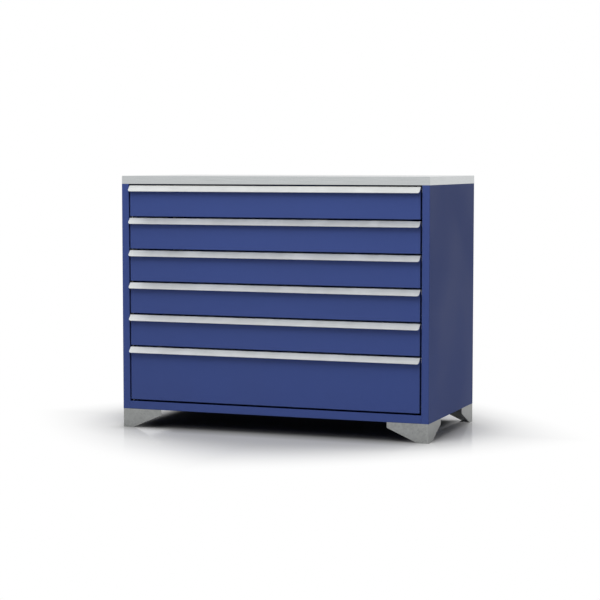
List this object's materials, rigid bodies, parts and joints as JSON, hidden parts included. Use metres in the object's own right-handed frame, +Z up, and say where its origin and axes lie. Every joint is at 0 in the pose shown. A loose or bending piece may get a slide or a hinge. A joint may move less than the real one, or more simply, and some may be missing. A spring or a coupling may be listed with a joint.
{
  "type": "multi-drawer cabinet",
  "caption": "Floor-standing steel workshop cabinet with a stack of full-width drawers on telescopic runners, sloped metal lip handles, a flush metal worktop and folded feet.",
  "frame": {"origin": "on the floor, under the middle of the whole cabinet with its handles", "axes": "+Z up, +X to the right as seen from the front, the drawers open towards -Y"},
  "size_m": [1.2, 0.62, 0.9465],
  "materials": {
    "blue_paint": "satin powder coat",
    "grey_paint": "satin powder coat",
    "handle_metal": "brushed along its length",
    "worktop_metal": "satin sheet",
    "galvanised": "galvanised with a fine spangle",
    "zinc_plate": "bright zinc plate",
    "worktop_board": "raw fibreboard"
  },
  "bodies": {
    "cabinet": {"left_side_panel": "blue_paint", "right_side_panel": "blue_paint", "back_panel": "blue_paint", "back_panel_rivets": "zinc_plate", "base_pan": "blue_paint", "front_top_rail": "blue_paint", "rear_top_rail": "blue_paint", "left_runner_posts": "zinc_plate", "right_runner_posts": "zinc_plate", "worktop_skin": "worktop_metal", "worktop_core": "worktop_board", "worktop_screws": "zinc_plate", "front_left_foot": "galvanised", "front_right_foot": "galvanised", "rear_left_foot": "galvanised", "rear_right_foot": "galvanised", "foot_bolts": "zinc_plate", "drawer_1_outer_runners": "zinc_plate", "drawer_2_outer_runners": "zinc_plate", "drawer_3_outer_runners": "zinc_plate", "drawer_4_outer_runners": "zinc_plate", "drawer_5_outer_runners": "zinc_plate", "drawer_6_outer_runners": "zinc_plate"},
    "drawer_1": {"drawer_1_front": "blue_paint", "drawer_1_handle": "handle_metal", "drawer_1_tray": "grey_paint", "drawer_1_inner_runners": "zinc_plate", "drawer_1_screws": "zinc_plate"},
    "runner_1": {"drawer_1_middle_runners": "zinc_plate"},
    "drawer_2": {"drawer_2_front": "blue_paint", "drawer_2_handle": "handle_metal", "drawer_2_tray": "grey_paint", "drawer_2_inner_runners": "zinc_plate", "drawer_2_screws": "zinc_plate"},
    "runner_2": {"drawer_2_middle_runners": "zinc_plate"},
    "drawer_3": {"drawer_3_front": "blue_paint", "drawer_3_handle": "handle_metal", "drawer_3_tray": "grey_paint", "drawer_3_inner_runners": "zinc_plate", "drawer_3_screws": "zinc_plate"},
    "runner_3": {"drawer_3_middle_runners": "zinc_plate"},
    "drawer_4": {"drawer_4_front": "blue_paint", "drawer_4_handle": "handle_metal", "drawer_4_tray": "grey_paint", "drawer_4_inner_runners": "zinc_plate", "drawer_4_screws": "zinc_plate"},
    "runner_4": {"drawer_4_middle_runners": "zinc_plate"},
    "drawer_5": {"drawer_5_front": "blue_paint", "drawer_5_handle": "handle_metal", "drawer_5_tray": "grey_paint", "drawer_5_inner_runners": "zinc_plate", "drawer_5_screws": "zinc_plate"},
    "runner_5": {"drawer_5_middle_runners": "zinc_plate"},
    "drawer_6": {"drawer_6_front": "blue_paint", "drawer_6_handle": "handle_metal", "drawer_6_tray": "grey_paint", "drawer_6_inner_runners": "zinc_plate", "drawer_6_screws": "zinc_plate"},
    "runner_6": {"drawer_6_middle_runners": "zinc_plate"}
  },
  "joints": [
    {"name": "drawer_1_slide", "type": "slide", "parent": "cabinet", "child": "drawer_1", "axis": [0, -1, 0], "range_m": [0, 0.5]},
    {"name": "runner_1_slide", "type": "slide", "parent": "cabinet", "child": "runner_1", "axis": [0, -1, 0], "range_m": [0, 0.25]},
    {"name": "drawer_2_slide", "type": "slide", "parent": "cabinet", "child": "drawer_2", "axis": [0, -1, 0], "range_m": [0, 0.5]},
    {"name": "runner_2_slide", "type": "slide", "parent": "cabinet", "child": "runner_2", "axis": [0, -1, 0], "range_m": [0, 0.25]},
    {"name": "drawer_3_slide", "type": "slide", "parent": "cabinet", "child": "drawer_3", "axis": [0, -1, 0], "range_m": [0, 0.5]},
    {"name": "runner_3_slide", "type": "slide", "parent": "cabinet", "child": "runner_3", "axis": [0, -1, 0], "range_m": [0, 0.25]},
    {"name": "drawer_4_slide", "type": "slide", "parent": "cabinet", "child": "drawer_4", "axis": [0, -1, 0], "range_m": [0, 0.5]},
    {"name": "runner_4_slide", "type": "slide", "parent": "cabinet", "child": "runner_4", "axis": [0, -1, 0], "range_m": [0, 0.25]},
    {"name": "drawer_5_slide", "type": "slide", "parent": "cabinet", "child": "drawer_5", "axis": [0, -1, 0], "range_m": [0, 0.5]},
    {"name": "runner_5_slide", "type": "slide", "parent": "cabinet", "child": "runner_5", "axis": [0, -1, 0], "range_m": [0, 0.25]},
    {"name": "drawer_6_slide", "type": "slide", "parent": "cabinet", "child": "drawer_6", "axis": [0, -1, 0], "range_m": [0, 0.5]},
    {"name": "runner_6_slide", "type": "slide", "parent": "cabinet", "child": "runner_6", "axis": [0, -1, 0], "range_m": [0, 0.25]}
  ],
  "couplings": [
    {"joint": "runner_1_slide", "follows": "drawer_1_slide", "ratio": 0.5},
    {"joint": "runner_2_slide", "follows": "drawer_2_slide", "ratio": 0.5},
    {"joint": "runner_3_slide", "follows": "drawer_3_slide", "ratio": 0.5},
    {"joint": "runner_4_slide", "follows": "drawer_4_slide", "ratio": 0.5},
    {"joint": "runner_5_slide", "follows": "drawer_5_slide", "ratio": 0.5},
    {"joint": "runner_6_slide", "follows": "drawer_6_slide", "ratio": 0.5}
  ]
}
